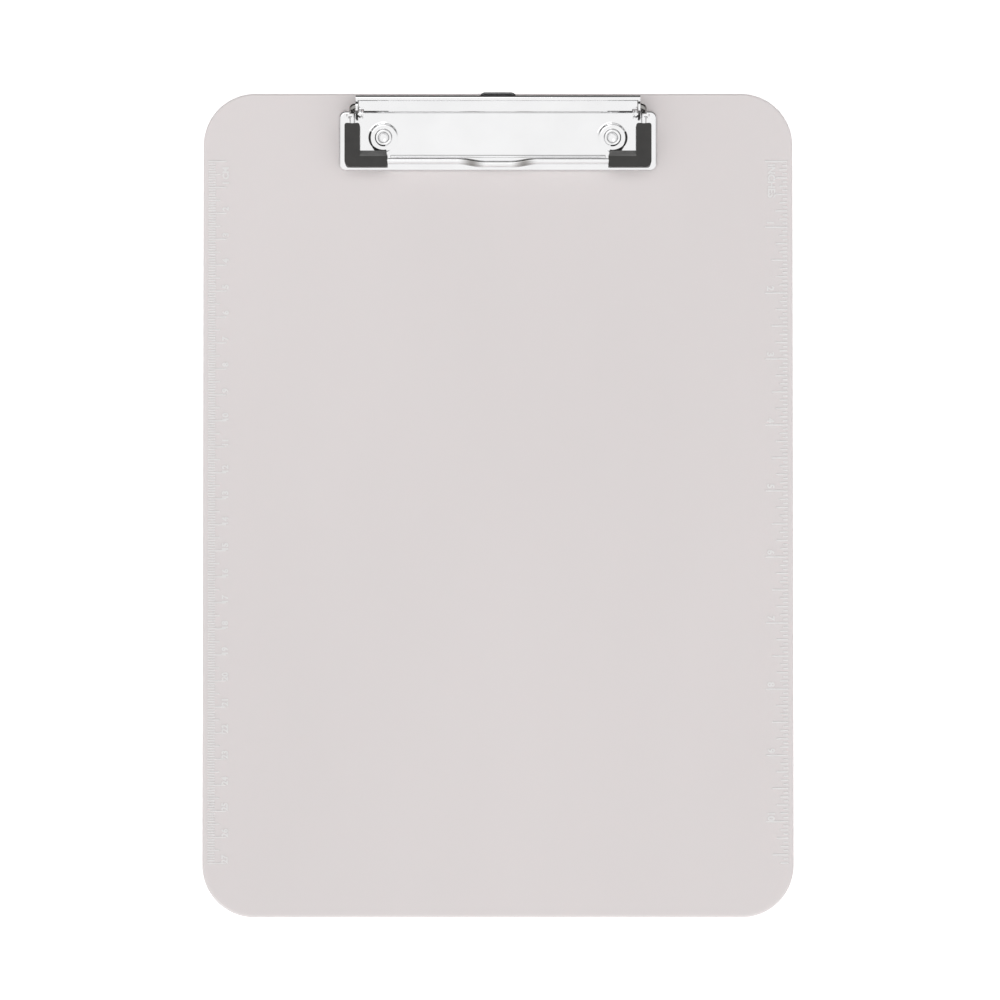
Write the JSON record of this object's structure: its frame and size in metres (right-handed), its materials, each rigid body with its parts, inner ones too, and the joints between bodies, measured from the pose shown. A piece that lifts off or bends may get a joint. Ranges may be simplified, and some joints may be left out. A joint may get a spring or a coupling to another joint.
{
  "type": "clipboard",
  "caption": "Letter-size clipboard: rounded plastic board with a low-profile sprung wire clip, opened by pressing back the lever at its top edge.",
  "frame": {"origin": "centre of the board's flat back face", "axes": "+X across the board to the right as it is read, +Y along the board towards the clip, +Z out of the writing face"},
  "size_m": [0.227, 0.317, 0.012],
  "materials": {
    "frosted_plastic": "translucent warm grey, satin moulded face",
    "chromed_steel": "bright plating over pressed sheet and wire",
    "black_rubber": "matt, slightly rough"
  },
  "bodies": {
    "board_unit": {"board": "frosted_plastic", "base_plate": "chromed_steel", "rivet_left": "chromed_steel", "rivet_right": "chromed_steel", "pivot_pin_left": "chromed_steel", "pivot_pin_right": "chromed_steel"},
    "lever_unit": {"lever": "chromed_steel", "tab_guide": "chromed_steel"},
    "jaw_unit": {"wire_jaw": "chromed_steel", "sleeve_left": "black_rubber", "sleeve_right": "black_rubber"},
    "tab_unit": {"hang_tab": "chromed_steel"}
  },
  "joints": [
    {"name": "lever_press", "type": "hinge", "parent": "board_unit", "child": "lever_unit", "pos_m": [0, 0.1502, 0.0063], "axis": [-1, 0, 0], "range_deg": [0, 30], "stiffness_Nm_per_rad": 0.2},
    {"name": "jaw_lift", "type": "hinge", "parent": "board_unit", "child": "jaw_unit", "pos_m": [0, 0.1495, 0.0063], "axis": [-1, 0, 0], "range_deg": [0, 28.6]},
    {"name": "tab_slide", "type": "slide", "parent": "lever_unit", "child": "tab_unit", "axis": [0, 0.7431, 0.6691], "range_m": [0, 0.003]}
  ],
  "couplings": [
    {"joint": "jaw_lift", "follows": "lever_press", "ratio": 0.95}
  ]
}
